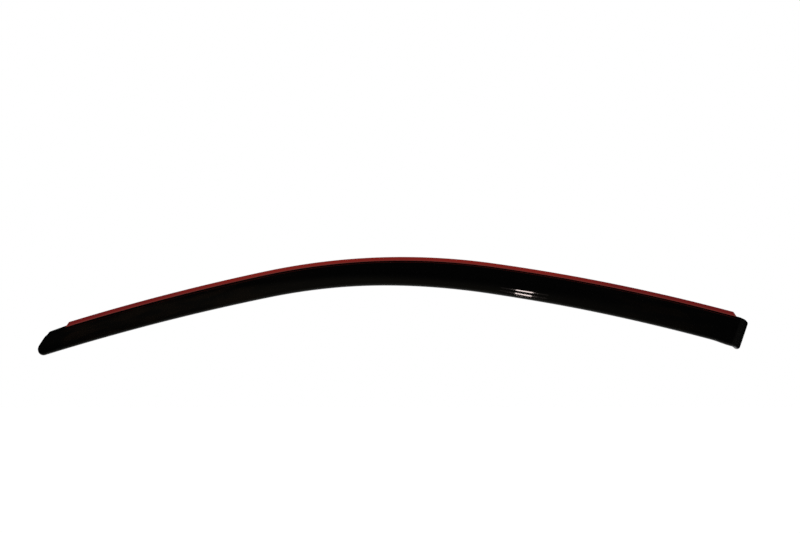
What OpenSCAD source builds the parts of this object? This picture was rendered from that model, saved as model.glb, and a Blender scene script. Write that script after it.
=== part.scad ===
// Rain deflector for the window of a front door, of the kind that is pushed up into the
// window channel and bonded there. One formed and trimmed sheet of smoked acrylic carries
// foam tape, with its red release liner, along its top flange.
// Millimetres. +X runs to the rear of the car, +Z up and -Y outboard.
// The origin is on the face of the liner, halfway down the tape at the top of the arch.
//
// The sheet is described flat first: s runs along the top edge, u runs down the sheet from
// that edge, and v stands out from the outer face of the flange. It is then laid along the
// arch, wrapped round the barrel of the door glass and leaned with it.

/* [Glass] */
// Lean of the glass from upright at the top of the arch, degrees
glass_lean = 25; // [5:1:40]
// Radius of the barrel that the glass follows from sill to roof
glass_radius = 1200; // [800:50:4000]

/* [Arch of the top edge] */
// Radius of the crown
crown_radius = 865; // [600:5:1400]
// Radius of the front leg, which runs down along the windscreen pillar
front_radius = 3130; // [1500:10:6000]
// Radius of the rear leg
rear_radius = 2620; // [1500:10:6000]
// Length of the crown in front of its highest point
crown_front = 200; // [120:1:300]
// Length of the crown behind its highest point
crown_rear = 132; // [80:1:300]

/* [Flange] */
// Length of the flange in front of the highest point
flange_front = 482; // [420:1:520]
// Length of the flange behind the highest point
flange_rear = 478; // [420:1:520]
// Angle of the cut at the front end of the flange, degrees from square
front_cut = 45; // [25:1:55]
// Angle of the cut at the rear end of the flange, degrees from square
rear_cut = 42; // [25:1:55]
// Depth cut away from the flange in front of the tape
front_shelf = 3.6; // [2:0.1:4.5]
// How much deeper the front shelf is cut by the end of the tip
shelf_drop = 2.3; // [0:0.1:4]
// Depth cut away from the flange behind the tape
rear_shelf = 5.2; // [3.5:0.1:5.4]

/* [Sheet] */
// Thickness of the sheet
wall = 2.5; // [2:0.1:3]
// Rounding of the flange's edges
flange_edge = 0.4; // [0.2:0.05:0.8]
// Rounding of the free edge and of both ends
free_edge = 1; // [0.4:0.05:1.2]

/* [Section] */
// Width of the shoulder, from its foot to its crest
shoulder_run = 2.4; // [2:0.1:4]
// Length of shoulder and flange taken by the bend at the shoulder's foot
foot_reach = 1.4; // [0.8:0.1:2]
// Length of shoulder and blade taken by the bend at the crest
crest_reach = 3.6; // [2.6:0.1:4.5]
// Height of the crest at the front end of the flange
crest_front = 3; // [2.6:0.1:5]
// Height of the crest a third of the way back
crest_front_third = 6; // [4:0.1:9]
// Height of the crest two thirds of the way back
crest_rear_third = 7; // [4:0.1:9]
// Height of the crest at the rear end of the flange
crest_rear = 6.5; // [4:0.1:9]
// How far the blade bows out from a straight line, at its widest
bulge = 3.2; // [1:0.1:5]
// Place of the bow's highest point, as a share of the blade's width
bulge_at = 0.45; // [0.35:0.01:0.6]

/* [Width of the sheet] */
// Width at the front end of the flange
width_1 = 37.9; // [32:0.1:42]
// Width a fifth of the way back
width_2 = 42.4; // [36:0.1:47]
// Width two fifths of the way back
width_3 = 47.1; // [41:0.1:52]
// Width three fifths of the way back
width_4 = 52.9; // [46:0.1:58]
// Width four fifths of the way back
width_5 = 53.6; // [46:0.1:58]
// Width at the rear end of the flange
width_6 = 53.6; // [46:0.1:58]

/* [Outstand of the free edge] */
// Outstand at the front end of the flange
outstand_1 = 2.6; // [2:0.1:6]
// Outstand a third of the way back
outstand_2 = 10.4; // [7:0.1:14]
// Outstand two thirds of the way back
outstand_3 = 16.2; // [12:0.1:20]
// Outstand at the rear end of the flange
outstand_4 = 14.2; // [11:0.1:18]

/* [Front tip] */
// Length of the tip in front of the flange
tip_length = 47.9; // [32:0.1:70]
// Length of the tip that the chamfer takes
chamfer_length = 18.8; // [14:0.1:24]
// Steepness of the chamfer, degrees
chamfer_angle = 44.9; // [35:0.1:50]
// Half the length of the bend where the shelf turns into the chamfer
chamfer_round = 1.7; // [0.5:0.1:4]
// Rounding where the chamfer meets the end
tip_top_round = 3.3; // [1.5:0.1:6]
// Rounding where the free edge meets the end
tip_low_round = 7.7; // [4:0.1:9]

/* [End return] */
// Distance from the rear end of the flange to the top of the crease
crease_gap = 10.5; // [8:0.5:24]
// How far the crease leans forward, per unit of its height
crease_lean = 0.26; // [0:0.01:0.35]
// Radius of the crease
crease_radius = 8; // [4:0.5:9]
// Length of the return at its top
return_top = 13.2; // [11.5:0.1:16]
// Length of the return at its foot
return_foot = 17.7; // [12:0.1:22]
// Height of the return's end, which closes down to the glass
return_height = -1.5; // [-3:0.1:0]
// How far the return narrows at its top
return_narrow_top = 1.6; // [0:0.1:4]
// How far the return narrows at its foot
return_narrow_foot = 0.6; // [0:0.1:5]
// Rounding of the return's corners
return_round = 7.3; // [5:0.1:7.5]
// How far the free edge drops on its way to the crease
flare = 1.5; // [0:0.1:4]

/* [Tape] */
// Width of the foam tape
tape_width = 6; // [5:0.1:7]
// Thickness of the foam tape
tape_thickness = 1.1; // [0.8:0.05:1.6]
// Thickness of the release liner
liner_thickness = 0.12; // [0.08:0.01:0.3]
// Flat left between the tape and the bend at the shoulder's foot
tape_clearance = 0.4; // [0.2:0.1:1]

/* [Hidden] */
deg = 180 / PI;

// Steps of the mesh along the sheet: on the flange, on each part of the tip, on each end cut
// of the flange, round the crease and at the corners of the tip and of the return
main_steps = 78;
tip_steps = 4;
cut_steps = 3;
crease_steps = 7;
tip_corner_steps = 6;
return_corner_steps = 4;

// Steps of the mesh down the sheet: on the blade, round each bend and round each edge
blade_steps = 9;
bend_steps = 3;
edge_steps = 2;

// Distance over which a slope is measured
probe = 0.01;

// Least flat left on an end of the sheet between its rounded edges
end_flat = 0.5;

// Largest share of the tip's end that its two corner rounds take, and of a station's width
// that the rounding of one edge takes
corner_share = 0.92;
edge_share = 0.25;

// Largest shares of the shoulder's slope for the bend at its foot and for the one at the
// crest, and the share of the blade's straights that its bow rounds
foot_share = 0.4;
crest_share = 0.55;
bow_share = 0.97;

// Lengths over which the crease comes to lean and the free edge comes to drop
lean_length = 50;
flare_length = 38;

// Largest crease radius, as a share of the return's length, and the share of the return by
// which it has turned down
crease_share = 0.8;
crease_end = 0.3;

// Share of the tape's width left at the points of its ends
tape_blunt = 0.05;

// Values at equal distances along the flange
widths = [width_1, width_2, width_3, width_4, width_5, width_6];
outstands = [outstand_1, outstand_2, outstand_3, outstand_4];
crests = [crest_front, crest_front_third, crest_rear_third, crest_rear];

tape_top = flange_edge;
tape_low = tape_top + tape_width;
foot = tape_low + tape_clearance + foot_reach;
tip = flange_front + tip_length;
chamfer = tip - chamfer_length;
crease = flange_rear + crease_gap;
nose = min(free_edge, (wall - end_flat) / 2);
mount_u = tape_top + tape_width / 2;
mount_v = tape_thickness + liner_thickness;

// Share of a rise from 0 to 1 with level ends
function ease(t) = let (x = min(1, max(0, t))) x * x * (3 - 2 * x);

// What a quarter round of radius r takes off an outline at distance d from its end
function rounding(d, r) = d >= r ? 0 : r - sqrt(r * r - (r - d) * (r - d));

function steps(from, to, count) = [for (i = [1:count]) from + (to - from) * i / count];

// Distances from an end, close together where its corners turn
function round_steps(r, count) = [for (i = [0:count]) r * (1 - cos(90 * i / count))];

// Smooth curve through equally spaced values, from one end of the flange to the other
function along(values, s) =
    let (last = len(values) - 1)
    let (t = (s + flange_front) / (flange_front + flange_rear) * last)
    let (k = min(last - 1, max(0, floor(t))))
    let (b = values[k], c = values[k + 1])
    let (slope_b = k > 0 ? (c - values[k - 1]) / 2 : c - b)
    let (slope_c = k < last - 1 ? (values[k + 2] - b) / 2 : c - b)
    let (f = t - k)
    f < 0 ? b + slope_b * f
    : f > 1 ? c + slope_c * (f - 1)
    : (2 * f * f * f - 3 * f * f + 1) * b + (f * f * f - 2 * f * f + f) * slope_b
      + (3 * f * f - 2 * f * f * f) * c + (f * f * f - f * f) * slope_c;

// Point and heading of the top edge at distance s from the top of the arch
function arch(s) =
    let (side = s < 0 ? -1 : 1)
    let (crown = s < 0 ? crown_front : crown_rear)
    let (leg_radius = s < 0 ? front_radius : rear_radius)
    let (distance = abs(s))
    let (crown_turn = min(distance, crown) / crown_radius * deg)
    let (turn = crown_turn + max(0, distance - crown) / leg_radius * deg)
    let (x = crown_radius * sin(crown_turn) + leg_radius * (sin(turn) - sin(crown_turn)))
    let (y = crown_radius * (1 - cos(crown_turn)) + leg_radius * (cos(crown_turn) - cos(turn)))
    [side * x, -y, -side * turn];

// Point at distance d from a toward b
function toward(a, b, d) = a + (b - a) * d / norm(b - a);

// Height at u on the line through a and b
function on_line(u, a, b) = a[1] + (b[1] - a[1]) * (u - a[0]) / (b[0] - a[0]);

// Height at u on the parabola that rounds corner c between a and b
function on_bend(u, a, c, b) =
    let (square = a[0] - 2 * c[0] + b[0], linear = 2 * (c[0] - a[0]), rest = a[0] - u)
    let (root = sqrt(max(0, linear * linear - 4 * square * rest)))
    let (t = min(1, max(0, -2 * rest / (linear + root))))
    a[1] * (1 - t) * (1 - t) + 2 * c[1] * t * (1 - t) + b[1] * t * t;

// Corners of the section at s, each between the two ends of its bend
function section(s) =
    let (w = along(widths, s), h = along(outstands, s), rise = along(crests, s))
    let (low = [foot, 0], top = [foot + shoulder_run, rise], free = [w, h])
    let (bow = [0, bulge * w / max(widths)])
    let (mid = top + (free - top) * bulge_at + bow)
    let (slope = norm(top - low), top_reach = min(crest_reach, crest_share * slope))
    let (low_reach = min(foot_reach, foot_share * slope))
    let (mid_reach = bow_share * min(norm(mid - top) - top_reach, norm(free - mid)))
    [low - [low_reach, 0], low, toward(low, top, low_reach),
     toward(top, low, top_reach), top, toward(top, mid, top_reach),
     toward(mid, top, mid_reach), mid, toward(mid, free, mid_reach), free];

// Height of the outer face at u in a section
function face_height(q, u) =
    u < q[0][0] ? 0
    : u < q[2][0] ? on_bend(u, q[0], q[1], q[2])
    : u < q[3][0] ? on_line(u, q[1], q[4])
    : u < q[5][0] ? on_bend(u, q[3], q[4], q[5])
    : u < q[6][0] ? on_line(u, q[4], q[7])
    : u < q[8][0] ? on_bend(u, q[6], q[7], q[8])
    : on_line(u, q[7], q[9]);

function face_slope(q, u) =
    atan((face_height(q, u + probe) - face_height(q, u - probe)) / (2 * probe));

// Depth of the two slanted end cuts of the flange at s, each down to its shelf
function cut_depth(s) =
    min(front_shelf, max(0, -s - flange_front) / tan(front_cut))
    + min(rear_shelf, max(0, s - flange_rear) / tan(rear_cut));

// Trim line of the top edge at s, without its corner rounds: the end cuts, the slope of the
// front shelf and the chamfer, whose upper corner is a parabola
function top_line(s) =
    let (ahead = max(0, -s - flange_front), past = -s - chamfer)
    let (bend = min(2 * chamfer_round, max(0, past + chamfer_round)))
    let (run = bend * bend / (4 * chamfer_round) + max(0, past - chamfer_round))
    cut_depth(s) + shelf_drop * ahead / tip_length + run * tan(chamfer_angle);

// Trim line of the free edge at s, without its corner rounds
function low_line(s) =
    along(widths, s) + flare * ease((s - crease + flare_length) / flare_length);

// Corner rounds of the tip, drawn in together where its end has no room for both
tip_room = corner_share * (low_line(-tip) - top_line(-tip));
tip_fit = min(1, tip_room / (tip_top_round + tip_low_round));
top_round = tip_fit * tip_top_round;
low_round = tip_fit * tip_low_round;

// Shares of the return at which the mesh has a station, closer where it bends and ends
return_ends = [for (d = round_steps(return_round, return_corner_steps)) 1 - d / return_top];
return_stations = concat(steps(0, crease_end, crease_steps),
                         [for (i = [return_corner_steps:-1:0]) return_ends[i]]);

// Stations of the sheet as [s, share of the return]
front_end = -flange_front - front_shelf * tan(front_cut);
rear_end = flange_rear + rear_shelf * tan(rear_cut);
front_stations = concat([for (d = round_steps(low_round, tip_corner_steps)) d - tip],
                        steps(low_round - tip, -chamfer - chamfer_round, tip_steps),
                        steps(-chamfer - chamfer_round, chamfer_round - chamfer, bend_steps),
                        steps(chamfer_round - chamfer, front_end, tip_steps),
                        steps(front_end, -flange_front, cut_steps));
flange_stations = steps(-flange_front, flange_rear, main_steps);
rear_stations = concat(steps(flange_rear, rear_end, cut_steps),
                       steps(rear_end, crease, cut_steps));
stations = concat([for (s = concat(front_stations, flange_stations, rear_stations)) [s, 0]],
                  [for (g = return_stations) [crease, g]]);

// Distance from a station to the nearer end of the sheet
function to_end(st) = st[1] > 0 ? (1 - st[1]) * return_top : st[0] + tip;

function top_trim(st) =
    top_line(st[0]) + return_narrow_top * st[1]
    + rounding(to_end(st), st[1] > 0 ? return_round : top_round);

function low_trim(st) =
    low_line(st[0]) - return_narrow_foot * st[1]
    - rounding(to_end(st), st[1] > 0 ? return_round : low_round);

// Rounding of the top edge and of the free edge at a station, less where the sheet is narrow
function edges(st) =
    let (room = edge_share * (low_trim(st) - top_trim(st)))
    [min(flange_edge, room), min(nose, room)];

// Places down the sheet where a station has a point on its outer face
function rows(st, q) =
    let (first = cut_depth(st[0]) + flange_edge, start = top_trim(st) + edges(st)[0])
    let (end = low_trim(st) - edges(st)[1])
    let (raw = concat([first, max(tape_low, (first + q[0][0]) / 2), q[0][0]],
                      steps(q[0][0], q[2][0], bend_steps),
                      [q[3][0]],
                      steps(q[3][0], q[5][0], bend_steps + 1),
                      steps(q[5][0], end, blade_steps)))
    [for (u = raw) end - (end - u) * (end - start) / (end - first)];

// Half of the outline of a station, from the middle of its top edge to the middle of its
// free edge, as [u, depth under the outer face]
function half_outline(st, q) =
    let (r = rows(st, q), last = len(r) - 1, e = edges(st))
    concat([for (i = [edge_steps:-1:1]) let (a = 90 * i / edge_steps)
                [r[0] - e[0] * sin(a), flange_edge * (1 - cos(a))]],
           [for (u = r) [u, 0]],
           [for (i = [1:edge_steps]) let (a = 90 * i / edge_steps)
                [r[last] + e[1] * sin(a), nose * (1 - cos(a))]]);

// Lay a point at s, u and v along the arch, with the mount at the origin, and wrap it
// round the barrel of the glass
function place(s, u, v) =
    let (a = arch(s))
    let (x = a[0] + u * sin(a[2]), y = a[1] - u * cos(a[2]) + mount_u, z = v - mount_v)
    let (r = glass_radius + mount_v, turn = y / r * deg)
    [x, (r + z) * sin(turn), (r + z) * cos(turn) - r];

// Point of the sheet at u and at a depth under its outer face. The crease leans below the
// foot of the shoulder. Past it the sheet follows an arc and then a straight line down to the
// end of the return.
function sheet_point(st, q, u, depth) =
    let (lean = crease_lean * ease((st[0] - crease + lean_length) / lean_length))
    let (s = st[0] - lean * max(0, u - foot), v = face_height(q, u), slope = face_slope(q, u))
    let (share = min(1, max(0, (u - foot) / (width_6 - foot))))
    let (reach = return_top + (return_foot - return_top) * share, fall = v - return_height)
    let (r = min(crease_radius, crease_share * reach), span = norm([reach, fall - r]))
    let (turn = atan2(fall - r, reach) + asin(r / span), arc = r * turn / deg)
    let (way = st[1] * (arc + sqrt(span * span - r * r)))
    let (bent = min(turn, way / r * deg), past = max(0, way - arc))
    let (on = r * sin(bent) + past * cos(turn), down = r * (1 - cos(bent)) + past * sin(turn))
    let (n = [sin(bent) * cos(slope), -cos(bent) * sin(slope), cos(bent) * cos(slope)])
    let (inward = -depth * n / norm(n))
    place(s + on + inward[0], u + inward[1], v - down + inward[2]);

// Closed outline of the sheet at a station. The wall thins to a rounded edge at both ends.
function sheet_loop(st) =
    let (q = section(st[0]), half = half_outline(st, q), last = len(half) - 1)
    let (thin = 1 - 2 * rounding(to_end(st), nose) / wall)
    [for (side = [1, -1]) for (i = [0:last])
        let (p = half[side > 0 ? i : last - i])
        sheet_point(st, q, p[0], wall / 2 - side * thin * (wall / 2 - p[1]))];

// Solid through closed loops of points, each made of two facing halves of equal length, with
// its faces clockwise as seen from outside
module skin(loops) {
    count = len(loops[0]);
    half = count / 2;
    last = (len(loops) - 1) * count;
    points = [for (l = loops) for (p = l) p];
    sides = [for (i = [0:len(loops) - 2]) for (j = [0:count - 1])
        let (a = i * count + j, b = i * count + (j + 1) % count)
        each [[a, a + count, b], [b, a + count, b + count]]];
    ends = [for (j = [0:half - 2])
        let (a = j, b = j + 1, c = count - 2 - j, d = count - 1 - j)
        each [[a, b, d], [b, c, d], [last + a, last + d, last + b], [last + b, last + d, last + c]]];
    rotate([90 - glass_lean, 0, 0])
        polyhedron(points, concat(sides, ends), convexity = 8);
}

// Upper edge of the tape, which is cut in line with the ends of the flange
function tape_edge(s) =
    tape_top + max(0, -s - flange_front) / tan(front_cut) + max(0, s - flange_rear) / tan(rear_cut);

// The tape's ends stop just short of a point
tape_point = (1 - tape_blunt) * tape_width;
tape_stations = concat([-flange_front - tape_point * tan(front_cut)],
                       [-flange_front],
                       flange_stations,
                       [flange_rear + tape_point * tan(rear_cut)]);

// Strip along the flange between two heights over its outer face
module strip(from, to) {
    skin([for (s = tape_stations)
        [place(s, tape_edge(s), to), place(s, tape_low, to),
         place(s, tape_low, from), place(s, tape_edge(s), from)]]);
}

// The deflector: flange, shoulder, blade, front tip and end return in one sheet
module blade() {
    color("#141312") skin([for (st = stations) sheet_loop(st)]);
}

// Closed-cell foam tape along the outer face of the flange
module foam_tape() {
    color("#2b2b2b") strip(0, tape_thickness);
}

// Red film over the tape, peeled off when the deflector is fitted
module release_liner() {
    color("#a11f1c") strip(tape_thickness, tape_thickness + liner_thickness);
}

blade();
foam_tape();
release_liner();
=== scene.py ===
import math

import bpy
import numpy as np
from bpy.props import FloatProperty, FloatVectorProperty, IntProperty, PointerProperty
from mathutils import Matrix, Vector


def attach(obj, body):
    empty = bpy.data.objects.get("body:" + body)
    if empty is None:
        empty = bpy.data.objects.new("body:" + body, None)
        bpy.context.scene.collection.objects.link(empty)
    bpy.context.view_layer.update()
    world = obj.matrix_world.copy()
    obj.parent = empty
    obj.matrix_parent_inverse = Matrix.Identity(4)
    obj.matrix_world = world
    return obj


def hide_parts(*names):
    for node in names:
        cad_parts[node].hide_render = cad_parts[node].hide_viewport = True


bl_info = {
    "name": "Window rain deflector",
    "version": (1, 0, 0),
    "blender": (4, 5, 0),
    "location": "View3D > Sidebar > Deflector",
    "description": "Smoked acrylic rain deflector with foam tape and liner on its flange",
    "category": "Add Mesh",
}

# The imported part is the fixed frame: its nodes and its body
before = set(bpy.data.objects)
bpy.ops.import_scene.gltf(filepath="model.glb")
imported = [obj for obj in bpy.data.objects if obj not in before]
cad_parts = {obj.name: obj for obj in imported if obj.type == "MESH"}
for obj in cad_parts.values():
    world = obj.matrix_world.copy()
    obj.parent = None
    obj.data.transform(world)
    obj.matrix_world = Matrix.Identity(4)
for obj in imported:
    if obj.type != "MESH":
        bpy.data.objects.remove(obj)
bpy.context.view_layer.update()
BODY = "root"

MM = 0.001

# Letters used below, all but g in metres: s runs along the arch from its highest point to the
# rear, u runs down the sheet from the flange's edge, v is the height over the flange's outer
# face, g is the share of the end return from its crease, and q holds a section's corners.

# Distance over which a slope is measured
PROBE = 0.01 * MM

# Bends of the shoulder take at most these shares of its slope, and the bow of the blade
# takes this share of the straights beside it
FOOT_SHARE = 0.4
CREST_SHARE = 0.55
BOW_SHARE = 0.97

# Lengths over which the crease comes to lean and the free edge comes to drop
LEAN_LENGTH = 50 * MM
FLARE_LENGTH = 38 * MM

# Least flat left on an end of the sheet between its rounded edges, the largest share of the
# tip's end that its corner rounds take, and of a station's width that one edge's rounding takes
END_FLAT = 0.5 * MM
CORNER_SHARE = 0.92
EDGE_SHARE = 0.25

# Share of the wall's thickness under which a station lies on the rounding of an end
FULL_WALL = 0.999

# Largest crease radius, as a share of the return's length, and the share of the return by
# which it has turned down
CREASE_SHARE = 0.8
CREASE_END = 0.3

# Width left at the points of the tape, as a share of its own width
TAPE_BLUNT = 0.05

# Rounds on the outer edges of tape and liner: their radius, their largest share of the
# thickness, the parts of the width of which each takes one at most, and the rows between them
STRIP_ROUND = 0.25 * MM
STRIP_SHARE = 0.4
STRIP_PARTS = 3
STRIP_ROWS = 6

# Places along the flange where the liner buckles, in metres, and how strongly
BUCKLES = [(-0.392, 0.5), (-0.181, 0.8), (-0.106, 1.0), (0.043, 0.4), (0.238, 0.9), (0.408, 0.9),
           (0.428, 0.6)]

# Stretches of the sheet, in metres behind the top of the arch: where a tone starts, is full, is
# full still and is gone. Brown clouds, each with its strength, lie toward both ends, and a painted
# highlight lies on the crease.
CLOUDS = [((-0.09, -0.32, -0.486, -0.499), 1.0), ((0.27, 0.36, 0.41, 0.46), 0.45)]
CREASE_HIGHLIGHT = (0.4865, 0.4895, 0.4905, 0.4960)

# Painted highlight that spreads up the faces from the cut free edge: its share there, and how far
# it spreads
RIM_HIGHLIGHT = 0.4
RIM_WIDTH = 2.5 * MM

# Stretches over which the liner darkens toward its ends, and the part of its height, in metres
# below the top edge, over which a painted highlight pales it toward its foot
LINER_ENDS = [(-0.18, -0.42), (0.20, 0.34)]
LINER_FOOT_HIGHLIGHT = (0.0042, 0.0060)

# Acrylic: its index of refraction, the roughness of its cut edges, and how many times rougher
# it is where it is handled
ACRYLIC_IOR = 1.49
CUT_ROUGHNESS = 0.3
ACRYLIC_DULLED = 2

# Foam: how dark its cells are, as a share of its colour, and its roughness clean and handled
CELL_SHADE = 0.55
FOAM_ROUGHNESS = (0.85, 0.95)

# Liner: the colour of its drawn lines as a share of its own, how much of them shows, how many
# times rougher it is where it is handled, and its specular level
LINE_SHADE = 0.82
LINE_SHARE = 0.35
LINER_DULLED = 1.3
LINER_SPECULAR = 0.03

# Span of the noise over which specks of handling come up
SPECKS = (0.48, 0.78)

# Floor: its paint, its own brightness, and how much of that shows where it is seen directly
FLOOR_PAINT = (0.8, 0.8, 0.8, 1)
FLOOR_GLOW = 1.1
FLOOR_SHOWN = 0.85

# Width of the camera's sensor, in millimetres
SENSOR = 36

# Names of the values that each point of a surface carries for its material
SHEET_UV = "sheet_place"
EDGE_AND_RIM_HIGHLIGHT = "edge_and_rim_highlight"


def size(name, description, default, lowest=0.0):
    """A length in metres, written here in millimetres, as is the lowest that it may be."""
    return FloatProperty(
        name=name, description=description, default=default * MM, min=lowest * MM, soft_max=5.0,
        precision=5, unit="LENGTH",
    )


def sizes(name, description, values):
    """Lengths at equal distances along the flange, written here in millimetres."""
    return FloatVectorProperty(
        name=name, description=description, size=len(values), default=[v * MM for v in values],
        precision=5, unit="LENGTH",
    )


def angle(name, description, default):
    """An angle, written here in degrees."""
    return FloatProperty(
        name=name, description=description, default=math.radians(default), subtype="ANGLE"
    )


def number(name, description, default, low=0.0, **kind):
    """A share, a slope, a level or a power, with its upper limit, subtype or unit."""
    return FloatProperty(name=name, description=description, default=default, min=low, **kind)


def colour(name, description, default):
    """A linear colour."""
    return FloatVectorProperty(
        name=name, description=description, size=3, default=default, min=0.0, max=1.0,
        precision=4, subtype="COLOR",
    )


class SheetSizes(bpy.types.PropertyGroup):
    """Driving sizes of the formed and trimmed sheet."""

    glass_lean: angle("Glass lean", "Lean of the glass from upright at the top of the arch", 25)
    glass_radius: size("Glass radius", "Barrel that the glass follows from sill to roof", 1200)
    crown_radius: size("Crown radius", "Radius of the arch at its crown", 865)
    front_radius: size("Front radius", "Radius of the front leg", 3130)
    rear_radius: size("Rear radius", "Radius of the rear leg", 2620)
    crown_front: size("Crown front", "Length of the crown in front of its highest point", 200)
    crown_rear: size("Crown rear", "Length of the crown behind its highest point", 132)
    flange_front: size("Flange front", "Length of the flange in front of the highest point", 482)
    flange_rear: size("Flange rear", "Length of the flange behind the highest point", 478)
    front_cut: angle("Front cut", "Cut at the front end of the flange, from square", 45)
    rear_cut: angle("Rear cut", "Cut at the rear end of the flange, from square", 42)
    front_shelf: size("Front shelf", "Depth cut away from the flange in front of the tape", 3.6)
    shelf_drop: size("Shelf drop", "How much deeper it is cut by the end of the tip", 2.3)
    rear_shelf: size("Rear shelf", "Depth cut away from the flange behind the tape", 5.2)
    wall: size("Wall", "Thickness of the sheet", 2.5)
    flange_edge: size("Flange edge", "Rounding of the flange's edges", 0.4)
    free_edge: size("Free edge", "Rounding of the free edge and of both ends", 1)
    shoulder_run: size("Shoulder run", "Width of the shoulder, from foot to crest", 2.4)
    foot_reach: size("Foot reach", "Length that the bend at the shoulder's foot takes", 1.4)
    crest_reach: size("Crest reach", "Length that the bend at the crest takes", 3.6)
    bulge: size("Bulge", "How far the blade bows out from a straight line", 3.2)
    bulge_at: number("Bulge at", "Place of the bow's highest point, as a share of the blade", 0.45,
                     low=0.2, max=0.8, subtype="FACTOR")
    crests: sizes("Crests", "Height of the crest along the flange", [3, 6, 7, 6.5])
    widths: sizes("Widths", "Width of the sheet along the flange",
                  [37.9, 42.4, 47.1, 52.9, 53.6, 53.6])
    outstands: sizes("Outstands", "Outstand of the free edge along the flange",
                     [2.6, 10.4, 16.2, 14.2])
    tip_length: size("Tip length", "Length of the tip in front of the flange", 47.9)
    chamfer_length: size("Chamfer length", "Length of the tip that the chamfer takes", 18.8)
    chamfer_angle: angle("Chamfer angle", "Steepness of the chamfer", 44.9)
    chamfer_round: size("Chamfer round", "Half the length of the bend at the chamfer's top", 1.7)
    tip_top_round: size("Tip top round", "Rounding where the chamfer meets the end", 3.3)
    tip_low_round: size("Tip low round", "Rounding where the free edge meets the end", 7.7)
    crease_gap: size("Crease gap", "Distance from the end of the flange to the crease", 10.5)
    crease_lean: number("Crease lean", "How far the crease leans forward, per unit of height", 0.26,
                        max=0.5, subtype="FACTOR")
    crease_radius: size("Crease radius", "Radius of the crease", 8)
    return_top: size("Return top", "Length of the end return at its top", 13.2)
    return_foot: size("Return foot", "Length of the end return at its foot", 17.7)
    return_height: size("Return height", "Height of the return's end over the flange", -1.5,
                        lowest=-100)
    return_narrow_top: size("Return narrow top", "How far the return narrows at its top", 1.6)
    return_narrow_foot: size("Return narrow foot", "How far it narrows at its foot", 0.6)
    return_round: size("Return round", "Rounding of the return's corners", 7.3)
    flare: size("Flare", "How far the free edge drops on its way to the crease", 1.5)


class TapeSizes(bpy.types.PropertyGroup):
    """Sizes of the bonding tape and of its release liner."""

    width: size("Width", "Width of the foam tape", 6)
    thickness: size("Thickness", "Thickness of the foam tape", 1.1)
    liner: size("Liner", "Thickness of the release liner", 0.12)
    clearance: size("Clearance", "Flat left between the tape and the shoulder", 0.4)
    ripple: size("Ripple", "How far the liner lifts where it buckles", 0.22)
    ripple_length: size("Ripple length", "Length of one such buckle", 5)


class MeshSteps(bpy.types.PropertyGroup):
    """Fineness of the surfaces."""

    flange: IntProperty(name="Flange", description="Steps along the flange", default=300, min=40)
    end: IntProperty(name="End", description="Steps on each part of an end", default=14, min=4)
    blade: IntProperty(name="Blade", description="Steps down the blade", default=34, min=8)
    bend: IntProperty(name="Bend", description="Steps round a bend", default=8, min=3)
    edge: IntProperty(name="Edge", description="Steps round an edge", default=5, min=2)


class Finishes(bpy.types.PropertyGroup):
    """Colours and gloss of the three materials."""

    acrylic: colour("Acrylic", "Smoked acrylic", (0.0003, 0.0003, 0.0003))
    acrylic_warm: colour("Warm acrylic", "Acrylic where it shows brown", (0.0020, 0.0012, 0.0007))
    # Painted highlight: a paler band where the bend of the crease shines
    acrylic_crease_highlight: colour("Acrylic bend", "Haze on the crease", (0.0020, 0.0019, 0.0018))
    # Cut edge of the sheet, paler than its faces; the same colour also paints a highlight on the
    # faces beside the free edge
    acrylic_edge_and_rim_highlight: colour("Acrylic edge", "Cut edge of the sheet", (0.0180, 0.0177, 0.0165))
    acrylic_roughness: number("Acrylic roughness", "Roughness of the moulded faces", 0.03,
                              max=1.0, subtype="FACTOR")
    foam: colour("Foam", "Closed-cell foam", (0.030, 0.030, 0.031))
    liner: colour("Liner", "Film of the liner", (0.182, 0.0125, 0.0090))
    liner_shade: colour("Liner shade", "Film of the liner toward its ends", (0.118, 0.0080, 0.0078))
    # Painted highlight along the liner's foot, where its lower edge catches the light
    liner_foot_highlight: colour("Liner foot", "Paler foot of the liner", (0.142, 0.0225, 0.0185))
    liner_roughness: number("Liner roughness", "Roughness of the film", 0.42, max=1.0,
                            subtype="FACTOR")


class StudioSet(bpy.types.PropertyGroup):
    """Camera, floor and lights."""

    eye: FloatVectorProperty(
        name="Eye", description="Place of the camera", size=3, subtype="TRANSLATION",
        default=(-0.00313, -1.06246, -0.01129), precision=5,
    )
    focal_length: number("Focal length", "Lens of the camera", 32.76, unit="CAMERA")
    floor_drop: size("Floor drop", "Height of the origin over the floor", 900)
    floor_span: size("Floor span", "Width of the floor", 7000)
    room_light: number("Room light", "Even light of the room", 0.86)
    lamp_power: number("Lamp power", "Power of each soft lamp", 26, unit="POWER")
    streak_level: number("Streak level", "Brightness of the lamps that show on the blade", 1.0)


def ease(t):
    """Share of a rise from 0 to 1 with level ends: three t squared less two t cubed."""
    t = np.clip(t, 0, 1)
    return t * t * (3 - 2 * t)


def rounding(d, r):
    """What a quarter round of radius r takes off an outline at distance d from its end."""
    d = np.clip(d, 0, r)
    return r - np.sqrt(np.maximum(r * r - (r - d) ** 2, 0))


def blend(a, b, t):
    """Point that is the share t of the way from a to b."""
    return a + (b - a) * t


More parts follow.
